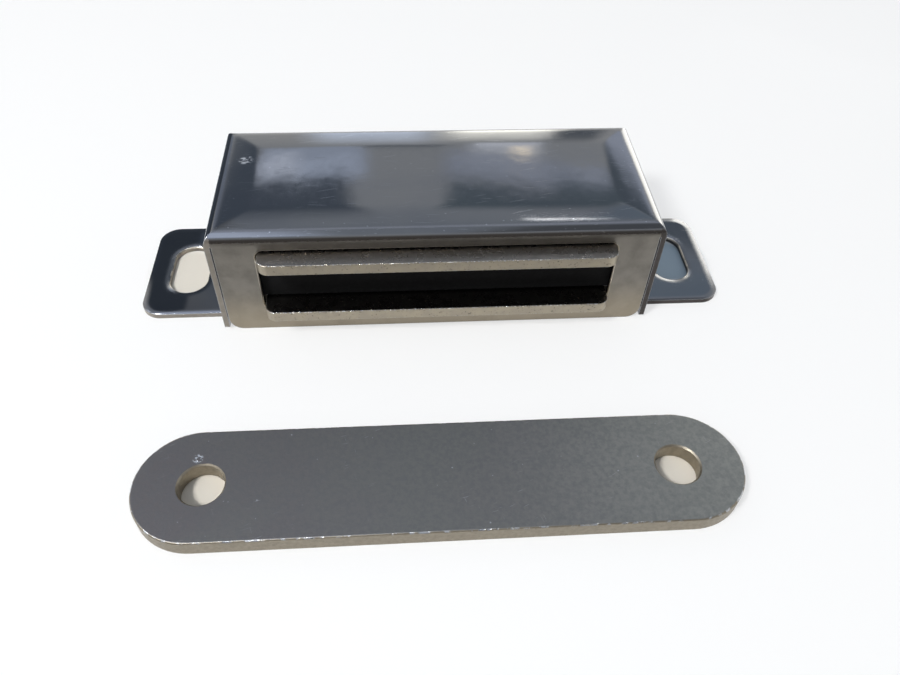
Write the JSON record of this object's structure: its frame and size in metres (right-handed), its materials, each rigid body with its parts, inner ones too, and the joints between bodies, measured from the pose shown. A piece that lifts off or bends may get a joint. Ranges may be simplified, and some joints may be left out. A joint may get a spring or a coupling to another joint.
{
  "type": "magnetic catch",
  "caption": "Magnetic cabinet catch: folded steel case with slotted ears, a floating magnet pack between two pole plates, and a flat strike plate with rounded ends.",
  "frame": {"origin": "the foot of the case's front face, on the case's middle plane", "axes": "+X along the case, +Y from the window side to the back, +Z away from the mounting surface"},
  "size_m": [0.09, 0.0629, 0.018],
  "materials": {
    "case_steel": "bright cold-rolled stainless sheet, fine scratches",
    "pole_steel": "blanked steel plate, dull, with a broken edge",
    "ferrite": "dark grey ferrite, matte, ground",
    "strike_steel": "matte rolled steel, fine mottle, scratched"
  },
  "bodies": {
    "case": {"housing": "case_steel", "strike_plate": "strike_steel"},
    "magnet_pack": {"upper_pole_plate": "pole_steel", "lower_pole_plate": "pole_steel", "magnet": "ferrite"}
  },
  "joints": [
    {"name": "pack_float", "type": "slide", "parent": "case", "child": "magnet_pack", "axis": [0, -1, 0], "range_m": [-0.0003, 0.0003]}
  ]
}
